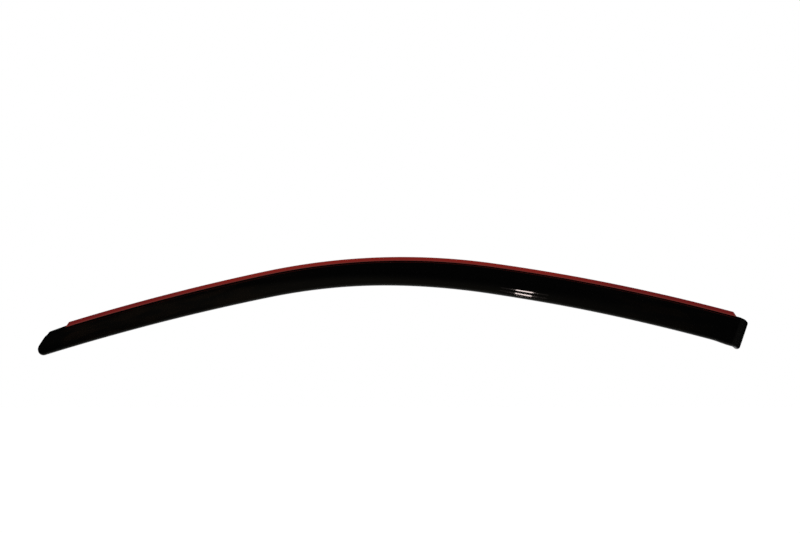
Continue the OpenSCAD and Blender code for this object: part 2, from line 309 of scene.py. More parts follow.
def along(values, s, form):
    """Smooth curve through values at equal distances over the flange: in each span a cubic
    whose end slopes are half the difference of the neighbours, and straight beyond."""
    v = np.array(values)
    last = len(v) - 1
    t = (s + form.flange_front) / (form.flange_front + form.flange_rear) * last
    k = np.clip(np.floor(t), 0, last - 1).astype(int)
    f = t - k
    extended = np.r_[2 * v[0] - v[1], v, 2 * v[-1] - v[-2]]
    before, b, c, after = (extended[k + i] for i in range(4))
    slope_b = (c - before) / 2
    slope_c = (after - b) / 2
    g = np.clip(f, 0, 1)
    curve = ((2 * g ** 3 - 3 * g ** 2 + 1) * b + (g ** 3 - 2 * g ** 2 + g) * slope_b
             + (3 * g ** 2 - 2 * g ** 3) * c + (g ** 3 - g ** 2) * slope_c)
    return np.where(f < 0, b + slope_b * f, np.where(f > 1, c + slope_c * (f - 1), curve))


def arch(s, form):
    """Top edge at distance s from its highest point: an arc of the crown's radius and then an
    arc of the leg's radius that goes on at its slope. Gives x, y and heading."""
    side = np.where(s < 0, -1.0, 1.0)
    crown = np.where(s < 0, form.crown_front, form.crown_rear)
    leg = np.where(s < 0, form.front_radius, form.rear_radius)
    crown_turn = np.minimum(np.abs(s), crown) / form.crown_radius
    turn = crown_turn + np.maximum(0, np.abs(s) - crown) / leg
    x = form.crown_radius * np.sin(crown_turn) + leg * (np.sin(turn) - np.sin(crown_turn))
    y = form.crown_radius * (1 - np.cos(crown_turn)) + leg * (np.cos(crown_turn) - np.cos(turn))
    return side * x, -y, -side * turn


class Layout:
    """Sizes worked out from the driving ones."""

    def __init__(self, form, tape):
        self.tape_top = form.flange_edge
        self.tape_low = self.tape_top + tape.width
        self.foot = self.tape_low + tape.clearance + form.foot_reach
        self.tip = form.flange_front + form.tip_length
        self.chamfer = self.tip - form.chamfer_length
        self.crease = form.flange_rear + form.crease_gap
        self.front_end = -form.flange_front - form.front_shelf * math.tan(form.front_cut)
        self.rear_end = form.flange_rear + form.rear_shelf * math.tan(form.rear_cut)
        self.full_width = form.widths[len(form.widths) - 1]
        self.mount_u = self.tape_top + tape.width / 2
        self.mount_v = tape.thickness + tape.liner
        self.half_wall = form.wall / 2
        self.nose = min(form.free_edge, (form.wall - END_FLAT) / 2)
        end = np.array([-self.tip])
        room = CORNER_SHARE * (low_line(form, self, end) - top_line(form, self, end))[0]
        fit = min(1.0, room / (form.tip_top_round + form.tip_low_round))
        self.top_round = fit * form.tip_top_round
        self.low_round = fit * form.tip_low_round


def place(form, lay, s, u, v):
    """Point at s along the arch, u down the sheet and v out from the flange: laid square to
    the arch, wrapped round the barrel of the glass, whose axis runs fore and aft, and leaned
    with the glass about the mount."""
    x, y, heading = arch(s, form)
    x = x + u * np.sin(heading)
    y = y - u * np.cos(heading) + lay.mount_u
    radius = form.glass_radius + lay.mount_v
    turn = y / radius
    out = radius + v - lay.mount_v
    rise, depth = out * np.sin(turn), out * np.cos(turn) - radius
    lean = math.pi / 2 - form.glass_lean
    return np.stack([x, rise * math.cos(lean) - depth * math.sin(lean),
                     rise * math.sin(lean) + depth * math.cos(lean)], axis=-1)


def section(form, lay, s):
    """Corners of the section at s as (u, v), each bend as start, corner and end: the foot of
    the shoulder, its crest, the bow of the blade, and last the free edge."""
    def corner(u, v):
        return np.stack([u + 0 * s, v + 0 * s], axis=-1)

    def distance(a, b):
        return np.linalg.norm(b - a, axis=-1, keepdims=True)

    width = along(form.widths, s, form)
    rise = along(form.crests, s, form)
    low = corner(lay.foot, 0)
    top = corner(lay.foot + form.shoulder_run, rise)
    free = corner(width, along(form.outstands, s, form))
    mid = blend(top, free, form.bulge_at) + corner(0, form.bulge * width / max(form.widths))
    slope = distance(low, top)
    top_reach = np.minimum(form.crest_reach, CREST_SHARE * slope)
    low_reach = np.minimum(form.foot_reach, FOOT_SHARE * slope)
    mid_reach = BOW_SHARE * np.minimum(distance(mid, top) - top_reach, distance(mid, free))

    def toward(a, b, reach):
        return blend(a, b, reach / distance(a, b))

    return [low - low_reach * np.array([1, 0]), low, toward(low, top, low_reach),
            toward(top, low, top_reach), top, toward(top, mid, top_reach),
            toward(mid, top, mid_reach), mid, toward(mid, free, mid_reach), free]


def on_line(u, a, b):
    """Height at u on the line through a and b."""
    return blend(a[..., 1], b[..., 1], (u - a[..., 0]) / (b[..., 0] - a[..., 0]))


def on_bend(u, a, c, b):
    """Height at u on the parabola that leaves a toward the corner c and ends at b."""
    square = a[..., 0] - 2 * c[..., 0] + b[..., 0]
    linear = 2 * (c[..., 0] - a[..., 0])
    rest = a[..., 0] - u
    root = np.sqrt(np.maximum(0, linear ** 2 - 4 * square * rest))
    t = np.clip(-2 * rest / (linear + root), 0, 1)
    return a[..., 1] * (1 - t) ** 2 + 2 * c[..., 1] * t * (1 - t) + b[..., 1] * t * t


def face_height(q, u):
    """Height of the outer face at u: flat flange, foot bend, shoulder, crest bend, straight,
    bow, straight."""
    inside = [u < q[i][..., 0] for i in (0, 2, 3, 5, 6, 8)]
    height = [0 * u, on_bend(u, q[0], q[1], q[2]), on_line(u, q[1], q[4]),
              on_bend(u, q[3], q[4], q[5]), on_line(u, q[4], q[7]), on_bend(u, q[6], q[7], q[8])]
    return np.select(inside, height, on_line(u, q[7], q[9]))


def to_end(form, lay, s, g):
    """Distance from a station to the nearer end of the sheet."""
    return np.where(g > 0, (1 - g) * form.return_top, s + lay.tip)


def end_round(form, lay, s, g, tip_round):
    """What the corner rounds at either end of the sheet take off its trim line."""
    d = to_end(form, lay, s, g)
    return np.where(g > 0, rounding(d, form.return_round), rounding(d, tip_round))


def cut_depth(form, s):
    """Depth of the two slanted end cuts of the flange, each down to its shelf."""
    front = np.maximum(0, -s - form.flange_front) / math.tan(form.front_cut)
    rear = np.maximum(0, s - form.flange_rear) / math.tan(form.rear_cut)
    return np.minimum(form.front_shelf, front) + np.minimum(form.rear_shelf, rear)


def top_line(form, lay, s):
    """Upper trim line without its corner rounds: the end cuts, the slope of the front shelf,
    and the chamfer as nothing, a parabola round its upper corner, then a slope."""
    drop = form.shelf_drop * np.maximum(0, -s - form.flange_front) / form.tip_length
    r = form.chamfer_round
    past = -s - lay.chamfer
    run = np.clip(past + r, 0, 2 * r) ** 2 / (4 * r) + np.maximum(0, past - r)
    return cut_depth(form, s) + drop + run * math.tan(form.chamfer_angle)


def low_line(form, lay, s):
    """Free edge without its corner rounds: width of the sheet and flare toward the crease."""
    flared = form.flare * ease((s - lay.crease + FLARE_LENGTH) / FLARE_LENGTH)
    return along(form.widths, s, form) + flared


def top_trim(form, lay, s, g):
    """Upper trim line: top line, narrowing of the return and corner rounds."""
    return (top_line(form, lay, s) + form.return_narrow_top * g
            + end_round(form, lay, s, g, lay.top_round))


def low_trim(form, lay, s, g):
    """Lower trim line: low line, narrowing of the return and corner rounds."""
    return (low_line(form, lay, s) - form.return_narrow_foot * g
            - end_round(form, lay, s, g, lay.low_round))


def sheet_point(form, lay, s, g, u, depth):
    """Point of the sheet at station s or share g of the return, at u and at a depth under the
    outer face. The crease leans forward below the shoulder's foot. Past it the sheet follows
    an arc of the crease's radius and then a straight line down to the return's end."""
    q = section(form, lay, s)
    lean = form.crease_lean * ease((s - lay.crease + LEAN_LENGTH) / LEAN_LENGTH)
    v = face_height(q, u)
    slope = np.arctan((face_height(q, u + PROBE) - face_height(q, u - PROBE)) / (2 * PROBE))
    share = np.clip((u - lay.foot) / (lay.full_width - lay.foot), 0, 1)
    reach = blend(form.return_top, form.return_foot, share)
    fall = v - form.return_height
    r = np.minimum(form.crease_radius, CREASE_SHARE * reach)
    span = np.hypot(reach, fall - r)
    turn = np.arctan2(fall - r, reach) + np.arcsin(r / span)
    way = g * (r * turn + np.sqrt(span ** 2 - r * r))
    bent = np.minimum(turn, way / r)
    past = np.maximum(0, way - r * turn)
    on = r * np.sin(bent) + past * np.cos(turn)
    down = r * (1 - np.cos(bent)) + past * np.sin(turn)
    normal = np.stack([np.sin(bent) * np.cos(slope), -np.cos(bent) * np.sin(slope),
                       np.cos(bent) * np.cos(slope)], axis=-1)
    normal /= np.linalg.norm(normal, axis=-1, keepdims=True)
    along_s = s - lean * np.maximum(0, u - lay.foot) + on
    inward = -depth[..., None] * normal
    return place(form, lay, along_s + inward[..., 0], u + inward[..., 1], v - down + inward[..., 2])


def quarter(count):
    """Shares from 0 to 1 that are close together where a quarter round turns sharply."""
    return 1 - np.cos(np.linspace(0, math.pi / 2, count + 1))


def joined(*parts):
    """Runs of values end to end, each without the value that it shares with the one before."""
    return np.concatenate([parts[0]] + [p[1:] for p in parts[1:]])


def stepped(stops, counts):
    """Runs of evenly spaced values, one between each stop and the next."""
    return [np.linspace(a, b, count) for a, b, count in zip(stops, stops[1:], counts)]


def sheet_stations(form, lay, steps):
    """Stations of the sheet from the tip to the end of the return, as s and share g."""
    turn, end = form.chamfer_round, steps.end
    stops = [lay.low_round - lay.tip, -lay.chamfer - turn, turn - lay.chamfer, lay.front_end,
             -form.flange_front, form.flange_rear, lay.rear_end, lay.crease]
    s = joined(-lay.tip + lay.low_round * quarter(2 * end),
               *stepped(stops, [end, end, end, end, steps.flange, end, end]))
    corner = form.return_round / form.return_top
    g = joined(*stepped([0, CREASE_END, 1 - corner], [2 * end, end]),
               (1 - corner * quarter(end))[::-1])[1:]
    return np.r_[s, np.full(len(g), lay.crease)], np.r_[0 * s, g]


def sheet_rows(form, lay, steps, s, g):
    """Places down the sheet where each station has a point on its faces, drawn in toward the
    free edge where the top is trimmed away, and the rounding of its two edges."""
    q = section(form, lay, s)
    top, low = top_trim(form, lay, s, g), low_trim(form, lay, s, g)
    top_edge = np.minimum(form.flange_edge, EDGE_SHARE * (low - top))
    low_edge = np.minimum(lay.nose, EDGE_SHARE * (low - top))
    first = cut_depth(form, s) + form.flange_edge
    start = top + top_edge
    end = low - low_edge

    def span(a, b, count):
        return blend(a[:, None], b[:, None], np.linspace(0, 1, count + 1)[1:])

    flat, foot, slope, crest = (q[i][:, 0] for i in (0, 2, 3, 5))
    raw = np.concatenate([first[:, None], span(first, flat, steps.bend), span(flat, foot, steps.bend),
                          span(foot, slope, 2), span(slope, crest, 2 * steps.bend),
                          span(crest, end, steps.blade)], axis=1)
    pull = (end - start) / (end - first)
    return end[:, None] - (end[:, None] - raw) * pull[:, None], top_edge[:, None], low_edge[:, None]


def sheet_loops(form, lay, steps):
    """Closed loops round the sheet, one for each station: up the outer face, round the free
    edge, back along the inner face and round the flange's edge. The wall thins to a rounded
    edge at both ends. Gives points, sheet places and the mask of the cut edges, with a painted
    highlight on the faces beside the free edge."""
    s, g = sheet_stations(form, lay, steps)
    rows, top_edge, low_edge = sheet_rows(form, lay, steps, s, g)
    turn = np.linspace(0, math.pi / 2, steps.edge + 1)[1:]
    top_u = rows[:, :1] - top_edge * np.sin(turn[::-1])
    low_u = rows[:, -1:] + low_edge * np.sin(turn)
    half_u = np.concatenate([top_u, rows, low_u], axis=1)
    top_depth = form.flange_edge * (1 - np.cos(turn[::-1]))
    low_depth = lay.nose * (1 - np.cos(turn))
    half_depth = np.concatenate([top_depth, np.zeros(rows.shape[1]), low_depth])
    # Painted highlight on the faces beside the free edge, fading up from it, carried in the mask of
    # the cut edges
    rim = RIM_HIGHLIGHT * np.clip(1 - (rows[:, -1:] - rows) / RIM_WIDTH, 0, 1)
    ends = np.ones((len(s), steps.edge))
    cut = np.concatenate([ends, rim, ends], axis=1)
    thin = 1 - rounding(to_end(form, lay, s, g), lay.nose)[:, None] / lay.half_wall
    reach = thin * (lay.half_wall - half_depth)
    u = np.concatenate([half_u, half_u[:, ::-1]], axis=1)
    depth = np.concatenate([lay.half_wall - reach, (lay.half_wall + reach)[:, ::-1]], axis=1)
    mask = np.maximum(np.concatenate([cut, cut[:, ::-1]], axis=1), thin < FULL_WALL)
    s_all, g_all = s[:, None] + 0 * u, g[:, None] + 0 * u
    points = sheet_point(form, lay, s_all, g_all, u, depth)
    places = np.stack([s_all + g_all * form.return_top, u], axis=-1)
    return points, places, mask


def tape_edge(form, lay, s):
    """Upper edge of the tape, cut in line with the ends of the flange."""
    return (lay.tape_top + np.maximum(0, -s - form.flange_front) / math.tan(form.front_cut)
            + np.maximum(0, s - form.flange_rear) / math.tan(form.rear_cut))


def buckles(tape, s, share):
    """Lift of the liner where it buckles: a bell at each place, taller toward its lower edge,
    because the arch is shorter there."""
    lift = 0 * s
    for at, height in BUCKLES:
        lift = lift + height * np.exp(-((s - at) / tape.ripple_length) ** 2)
    return tape.ripple * lift * ease(share)


def strip_loops(form, lay, tape, steps, low, high, lifted=False):
    """Closed loops round a flat strip on the flange, from one height over it to another, with
    small rounds on its outer edges."""
    point = (1 - TAPE_BLUNT) * tape.width
    stops = [-form.flange_front - point * math.tan(form.front_cut), -form.flange_front,
             form.flange_rear, form.flange_rear + point * math.tan(form.rear_cut)]
    s = joined(*stepped(stops, [steps.end, 2 * steps.flange, steps.end]))
    r = min(STRIP_ROUND, STRIP_SHARE * (high - low))
    turn = np.linspace(0, math.pi / 2, steps.edge + 1)
    top, foot = tape_edge(form, lay, s)[:, None], lay.tape_low + 0 * s[:, None]
    r_u = np.minimum(r, (foot - top) / STRIP_PARTS)
    across = np.linspace(0, 1, STRIP_ROWS + 2)[1:-1]
    outer_u = np.concatenate([top + r_u * (1 - np.sin(turn[::-1])),
                              blend(top + r_u, foot - r_u, across),
                              foot - r_u * (1 - np.sin(turn))], axis=1)
    outer_v = np.concatenate([high - r * (1 - np.cos(turn[::-1])), np.full(len(across), high),
                              high - r * (1 - np.cos(turn))])
    u = np.concatenate([outer_u, outer_u[:, ::-1]], axis=1)
    v = np.concatenate([outer_v, np.full(len(outer_v), low)]) + 0 * u
    s_all = s[:, None] + 0 * u
    if lifted:
        share = (u - lay.tape_top) / tape.width
        v = v + buckles(tape, s_all, share)
    return place(form, lay, s_all, u, v), np.stack([s_all, u], axis=-1), 0 * u


def loop_mesh(name, points, places, mask):
    """Closed mesh through loops of points, each made of two facing halves: a quad between each
    pair of neighbours, and at both ends quads from one half across to the other."""
    rows, count = points.shape[:2]
    i, j = np.meshgrid(np.arange(rows - 1), np.arange(count), indexing="ij")
    a = i * count + j
    b = i * count + (j + 1) % count
    sides = np.stack([a, b, b + count, a + count], axis=-1).reshape(-1, 4)
    h = np.arange(count // 2 - 1)
    cap = np.stack([h, count - 1 - h, count - 2 - h, h + 1], axis=-1)
    faces = np.concatenate([sides, cap, cap[:, ::-1] + (rows - 1) * count])
    mesh = bpy.data.meshes.new(name)
    mesh.vertices.add(rows * count)
    mesh.vertices.foreach_set("co", points.reshape(-1).astype(np.float32))
    mesh.loops.add(faces.size)
    mesh.loops.foreach_set("vertex_index", faces.reshape(-1).astype(np.int32))
    mesh.polygons.add(len(faces))
    mesh.polygons.foreach_set("loop_start", np.arange(0, faces.size, 4, dtype=np.int32))
    mesh.update(calc_edges=True)
    mesh.polygons.foreach_set("use_smooth", np.ones(len(faces), bool))
    uv = mesh.uv_layers.new(name=SHEET_UV)
    uv.data.foreach_set("uv", places.reshape(-1, 2)[faces.reshape(-1)].reshape(-1).astype(np.float32))
    edge = mesh.attributes.new(EDGE_AND_RIM_HIGHLIGHT, "FLOAT", "POINT")
    edge.data.foreach_set("value", mask.reshape(-1).astype(np.float32))
    mesh.validate()
    return mesh


def add_piece(name, loops, material, node):
    """Put a piece made of loops in the scene, on the body, in place of its CAD node."""
    mesh = loop_mesh(name, *loops)
    piece = bpy.data.objects.new(name, mesh)
    bpy.context.scene.collection.objects.link(piece)
    mesh.materials.append(material)
    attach(piece, BODY)
    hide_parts(node)
    return piece


def new_group(name, inputs, outputs):
    """Empty shader node group with named sockets."""
    group = bpy.data.node_groups.new(name, "ShaderNodeTree")
    for label, kind, value in inputs:
        socket = group.interface.new_socket(label, in_out="INPUT", socket_type=kind)
        if value is not None:
            socket.default_value = value
    for label, kind in outputs:
        group.interface.new_socket(label, in_out="OUTPUT", socket_type=kind)
    return group, group.nodes.new("NodeGroupInput"), group.nodes.new("NodeGroupOutput")


def add_node(tree, kind, **values):
    """Node with settings by attribute, and inputs by name where the value's key starts in_."""
    node = tree.nodes.new(kind)
    for key, value in values.items():
        if key.startswith("in_"):
            node.inputs[key[3:].replace("_", " ")].default_value = value
        else:
            setattr(node, key, value)
    return node


def feed(tree, value, socket):
    """Give a socket a value, or link it to an output. A colour gets its alpha."""
    if isinstance(value, bpy.types.NodeSocket):
        tree.links.new(value, socket)
    elif socket.type == "RGBA":
        socket.default_value = (*value, 1)
    else:
        socket.default_value = value


def combine(tree, operation, a, b):
    """What a Math node makes of two numbers, each a value or an output."""
    node = add_node(tree, "ShaderNodeMath", operation=operation)
    feed(tree, a, node.inputs[0])
    feed(tree, b, node.inputs[1])
    return node.outputs[0]


def smooth_ramp(tree, value, start, full):
    """Smooth ramp of a number from 0 at start to 1 at full, each a value or an output."""
    node = add_node(tree, "ShaderNodeMapRange", interpolation_type="SMOOTHSTEP")
    feed(tree, value, node.inputs["Value"])
    feed(tree, start, node.inputs["From Min"])
    feed(tree, full, node.inputs["From Max"])
    return node


def drawn_noise_group(name):
    """Soft noise drawn out along the sheet, as tone and as height."""
    group, given, result = new_group(
        name,
        [("Place", "NodeSocketVector", None), ("Stretch", "NodeSocketFloat", 6.0),
         ("Fineness", "NodeSocketFloat", 60.0), ("Low", "NodeSocketFloat", 0.4),
         ("High", "NodeSocketFloat", 0.6)],
        [("Mask", "NodeSocketFloat"), ("Height", "NodeSocketFloat")],
    )
    parts = add_node(group, "ShaderNodeSeparateXYZ")
    squeezed = combine(group, "DIVIDE", parts.outputs["X"], given.outputs["Stretch"])
    drawn = add_node(group, "ShaderNodeCombineXYZ")
    noise = add_node(group, "ShaderNodeTexNoise", in_Detail=3.0, in_Roughness=0.5)
    spread = smooth_ramp(group, noise.outputs["Fac"], given.outputs["Low"], given.outputs["High"])
    link = group.links.new
    link(given.outputs["Place"], parts.inputs[0])
    link(squeezed, drawn.inputs["X"])
    link(parts.outputs["Y"], drawn.inputs["Y"])
    link(drawn.outputs[0], noise.inputs["Vector"])
    link(given.outputs["Fineness"], noise.inputs["Scale"])
    link(spread.outputs["Result"], result.inputs["Mask"])
    link(noise.outputs["Fac"], result.inputs["Height"])
    return group


def ramp_group(name):
    """Smooth ramps of a place, along and down the sheet, from 0 at one end of a span to 1 at
    the other."""
    group, given, result = new_group(
        name,
        [("Place", "NodeSocketVector", None), ("From", "NodeSocketFloat", 0.0),
         ("To", "NodeSocketFloat", 1.0)],
        [("Along", "NodeSocketFloat"), ("Down", "NodeSocketFloat")],
    )
    parts = add_node(group, "ShaderNodeSeparateXYZ")
    link = group.links.new
    link(given.outputs["Place"], parts.inputs[0])
    for axis, label in (("X", "Along"), ("Y", "Down")):
        rise = smooth_ramp(group, parts.outputs[axis], given.outputs["From"], given.outputs["To"])
        link(rise.outputs["Result"], result.inputs[label])
    return group


def handling_group(name):
    """Fine specks of dust and handling that dull a surface here and there."""
    group, given, result = new_group(
        name,
        [("Place", "NodeSocketVector", None), ("Clean", "NodeSocketFloat", 0.05),
         ("Dull", "NodeSocketFloat", 0.12)],
        [("Roughness", "NodeSocketFloat")],
    )
    cloud = add_node(group, "ShaderNodeTexNoise", in_Scale=38.0, in_Detail=5.0, in_Roughness=0.6)
    pick = smooth_ramp(group, cloud.outputs["Fac"], *SPECKS)
    link = group.links.new
    link(given.outputs["Place"], cloud.inputs["Vector"])
    link(given.outputs["Clean"], pick.inputs["To Min"])
    link(given.outputs["Dull"], pick.inputs["To Max"])
    link(pick.outputs["Result"], result.inputs["Roughness"])
    return group


GROUP_BUILDERS = {
    "Drawn noise": drawn_noise_group,
    "Place ramp": ramp_group,
    "Handling": handling_group,
}


def use_group(tree, name, vector, **values):
    """A shared group in a material, built when it is first asked for, and fed with a place and
    with values by socket name."""
    node = tree.nodes.new("ShaderNodeGroup")
    node.node_tree = bpy.data.node_groups.get(name) or GROUP_BUILDERS[name](name)
    tree.links.new(vector, node.inputs["Place"])
    for label, value in values.items():
        node.inputs[label].default_value = value
    return node


def new_material(name):
    """Material with its tree, its shader and the place on the sheet as a vector."""
    material = bpy.data.materials.new(name)
    material.use_nodes = True
    tree = material.node_tree
    shader = tree.nodes["Principled BSDF"]
    uv = tree.nodes.new("ShaderNodeUVMap")
    uv.uv_map = SHEET_UV
    return material, tree, shader, uv.outputs["UV"]


# Two inputs and the output of a Mix node for numbers and for colours, which share their names
MIX_SOCKETS = {"FLOAT": (2, 3, 0), "RGBA": (6, 7, 2)}


def mix(tree, factor, first, second, kind="RGBA"):
    """Mix of two linear colours, or of two numbers, each a value or an output."""
    node = add_node(tree, "ShaderNodeMix", data_type=kind)
    a, b, result = MIX_SOCKETS[kind]
    tree.links.new(factor, node.inputs["Factor"])
    feed(tree, first, node.inputs[a])
    feed(tree, second, node.inputs[b])
    return node.outputs[result]


def ramp(tree, vector, start, full, way="Along"):
    """Smooth ramp of the place in a material, along or down the sheet."""
    return use_group(tree, "Place ramp", vector, From=start, To=full).outputs[way]


def stretch_mask(tree, vector, stretch):
    """1 over a stretch of the sheet, with a smooth ramp at both of its ends."""
    start, full, last, gone = stretch
    return combine(tree, "MULTIPLY", ramp(tree, vector, start, full),
                   ramp(tree, vector, gone, last))


def roughen(tree, shader, height, strength, distance):
    """Bump on a shader by a height that varies over the surface."""
    bump = add_node(tree, "ShaderNodeBump", in_Strength=strength, in_Distance=distance)
    tree.links.new(height, bump.inputs["Height"])
    tree.links.new(bump.outputs["Normal"], shader.inputs["Normal"])


def smoked_acrylic(look):
    """Nearly black glossy sheet with brown clouds near both ends, a painted highlight on the
    crease, and cut edges that are paler and duller, with a painted highlight on the faces beside
    the free edge."""
    material, tree, shader, vector = new_material("smoked_acrylic")
    tone = use_group(tree, "Drawn noise", vector, Stretch=5.0, Fineness=90.0, Low=0.38, High=0.62)
    clouds = [combine(tree, "MULTIPLY", stretch_mask(tree, vector, stretch), strength)
              for stretch, strength in CLOUDS]
    clouded = combine(tree, "MAXIMUM", *clouds)
    warm = combine(tree, "MULTIPLY", tone.outputs["Mask"], clouded)
    body = mix(tree, warm, look.acrylic, look.acrylic_warm)
    # Painted highlight: a paler band on the crease, where its bend shines
    body = mix(tree, stretch_mask(tree, vector, CREASE_HIGHLIGHT), body, look.acrylic_crease_highlight)
    # Mask of the paler and duller cut edges, which also carries the painted highlight beside the free
    # edge
    edge = add_node(tree, "ShaderNodeAttribute", attribute_name=EDGE_AND_RIM_HIGHLIGHT).outputs["Fac"]
    tree.links.new(mix(tree, edge, body, look.acrylic_edge_and_rim_highlight), shader.inputs["Base Color"])
    dust = use_group(tree, "Handling", vector, Clean=look.acrylic_roughness,
                     Dull=look.acrylic_roughness * ACRYLIC_DULLED)
    dulled = combine(tree, "MULTIPLY", edge, edge)
    roughness = mix(tree, dulled, dust.outputs["Roughness"], CUT_ROUGHNESS, kind="FLOAT")
    tree.links.new(roughness, shader.inputs["Roughness"])
    wave = use_group(tree, "Drawn noise", vector, Stretch=9.0, Fineness=120.0)
    roughen(tree, shader, wave.outputs["Height"], strength=0.10, distance=0.02 * MM)
    shader.inputs["IOR"].default_value = ACRYLIC_IOR
    return material


def closed_cell_foam(look):
    """Dark matt foam with fine cells."""
    material, tree, shader, vector = new_material("foam")
    cells = add_node(tree, "ShaderNodeTexVoronoi", in_Scale=3200.0)
    tree.links.new(vector, cells.inputs["Vector"])
    shade = [c * CELL_SHADE for c in look.foam]
    body = mix(tree, cells.outputs["Distance"], look.foam, shade)
    tree.links.new(body, shader.inputs["Base Color"])
    roughen(tree, shader, cells.outputs["Distance"], strength=0.6, distance=0.05 * MM)
    clean, dull = FOAM_ROUGHNESS
    dust = use_group(tree, "Handling", vector, Clean=clean, Dull=dull)
    tree.links.new(dust.outputs["Roughness"], shader.inputs["Roughness"])
    return material


def liner_film(look):
    """Red film, darker toward both ends, with a painted highlight along its foot and faint drawn
    lines.
    """
    material, tree, shader, vector = new_material("liner_film")
    ends = combine(tree, "MAXIMUM", *(ramp(tree, vector, *stretch) for stretch in LINER_ENDS))
    film = mix(tree, ends, look.liner, look.liner_shade)
    # Painted highlight: the liner pales toward its foot
    film = mix(tree, ramp(tree, vector, *LINER_FOOT_HIGHLIGHT, way="Down"), film, look.liner_foot_highlight)
    grain = use_group(tree, "Drawn noise", vector, Stretch=12.0, Fineness=420.0, Low=0.42,
                      High=0.7)
    shade = [c * LINE_SHADE for c in look.liner]
    lines = combine(tree, "MULTIPLY", grain.outputs["Mask"], LINE_SHARE)
    tree.links.new(mix(tree, lines, film, shade), shader.inputs["Base Color"])
    dust = use_group(tree, "Handling", vector, Clean=look.liner_roughness,
                     Dull=look.liner_roughness * LINER_DULLED)
    tree.links.new(dust.outputs["Roughness"], shader.inputs["Roughness"])
    roughen(tree, shader, grain.outputs["Height"], strength=0.3, distance=0.03 * MM)
    shader.inputs["Specular IOR Level"].default_value = LINER_SPECULAR
    return material


def scene_values(context):
    """Sizes of sheet and tape, what is worked out from them, fineness and finishes."""
    scene = context.scene
    form, tape = scene.deflector_sheet, scene.deflector_tape
    return form, tape, Layout(form, tape), scene.deflector_steps, scene.deflector_looks


class DEFLECTOR_OT_blade(bpy.types.Operator):
    """Build the formed sheet: flange, shoulder, blade, front tip and end return."""

    bl_idname = "deflector.blade"
    bl_label = "Blade"

    def execute(self, context):
        form, tape, lay, steps, looks = scene_values(context)
        loops = sheet_loops(form, lay, steps)
        add_piece("formed_blade", loops, smoked_acrylic(looks), "blade")
        return {"FINISHED"}


class DEFLECTOR_OT_tape(bpy.types.Operator):
    """Lay the foam tape along the outer face of the flange."""

    bl_idname = "deflector.tape"
    bl_label = "Foam tape"

    def execute(self, context):
        form, tape, lay, steps, looks = scene_values(context)
        loops = strip_loops(form, lay, tape, steps, 0, tape.thickness)
        add_piece("bonding_tape", loops, closed_cell_foam(looks), "foam_tape")
        return {"FINISHED"}


class DEFLECTOR_OT_liner(bpy.types.Operator):
    """Lay the red release liner over the tape."""

    bl_idname = "deflector.liner"
    bl_label = "Release liner"

    def execute(self, context):
        form, tape, lay, steps, looks = scene_values(context)
        loops = strip_loops(form, lay, tape, steps, tape.thickness, lay.mount_v, lifted=True)
        add_piece("red_liner", loops, liner_film(looks), "release_liner")
        return {"FINISHED"}


# Soft lamps as place, width and height. They light the part and don't show on it.
SOFT_LAMPS = [((-2.6, -2.4, 0.35), 1.6, 1.4), ((2.6, -2.4, 0.35), 1.6, 1.4)]

# Place on the blade where the streaks show, the distance from it to their lamps, and the lamps'
# colour
STREAK_FROM = Vector((0.185, -0.03, -0.05))
STREAK_DISTANCE = 2.0
STREAK_COLOUR = (1.0, 0.85, 0.81)

# The two streaks on the blade, each as direction to its lamps and their roll in degrees
UPPER_STREAK = ((0.1924, -0.5565, 0.8082), -30)
LOWER_STREAK = ((0.1795, -0.6208, 0.7631), -28)

# Lamps of the streaks, as streak, width, height and brightness: a narrow bright one for each,
# and two longer faint ones, so that it fades out
STREAK_LAMPS = [(UPPER_STREAK, 0.085, 0.060, 24.0), (LOWER_STREAK, 0.083, 0.010, 30.0),
                (UPPER_STREAK, 0.140, 0.040, 0.75), (LOWER_STREAK, 0.140, 0.010, 0.85),
                (UPPER_STREAK, 0.235, 0.040, 0.22), (LOWER_STREAK, 0.235, 0.010, 0.25)]

# What the blade mirrors apart from the lamps: dark walls and a glow. The glow fades at five
# edges, each given by an axis and by the reach along it where the glow starts and is full.
DARK_WALLS = (0.011, 0.011, 0.011)
GLOW = (0.087, 0.078, 0.062)
GLOW_EDGES = [((0.06, 0, 1), 0.905, 0.73), ((0, 0, 1), 0.15, 0.70), ((0, -1, 0), 0.0, 0.30),
              ((1, 0, 0), 0.52, 0.06), ((-1, 0, 0), 0.74, -0.10)]


def aim(thing, place_at, target):
    """Put a lamp or camera at a place, turned toward a target."""
    thing.location = place_at
    thing.rotation_euler = (Vector(target) - Vector(place_at)).to_track_quat("-Z", "Y").to_euler()


def area_lamp(name, place_at, target, width, height, power):
    """Rectangular lamp that the camera doesn't see."""
    light = bpy.data.lights.new(name, "AREA")
    light.shape = "RECTANGLE"
    light.size = width
    light.size_y = height
    light.energy = power
    lamp = bpy.data.objects.new(name, light)
    bpy.context.scene.collection.objects.link(lamp)
    aim(lamp, place_at, target)
    lamp.visible_camera = False
    return lamp


def seen_directly(tree):
    """1 for rays that show a surface as a background: camera, glossy and transmission rays."""
    path = tree.nodes.new("ShaderNodeLightPath")
    seen = path.outputs["Is Camera Ray"]
    for label in ("Is Glossy Ray", "Is Transmission Ray"):
        seen = combine(tree, "MAXIMUM", seen, path.outputs[label])
    return seen


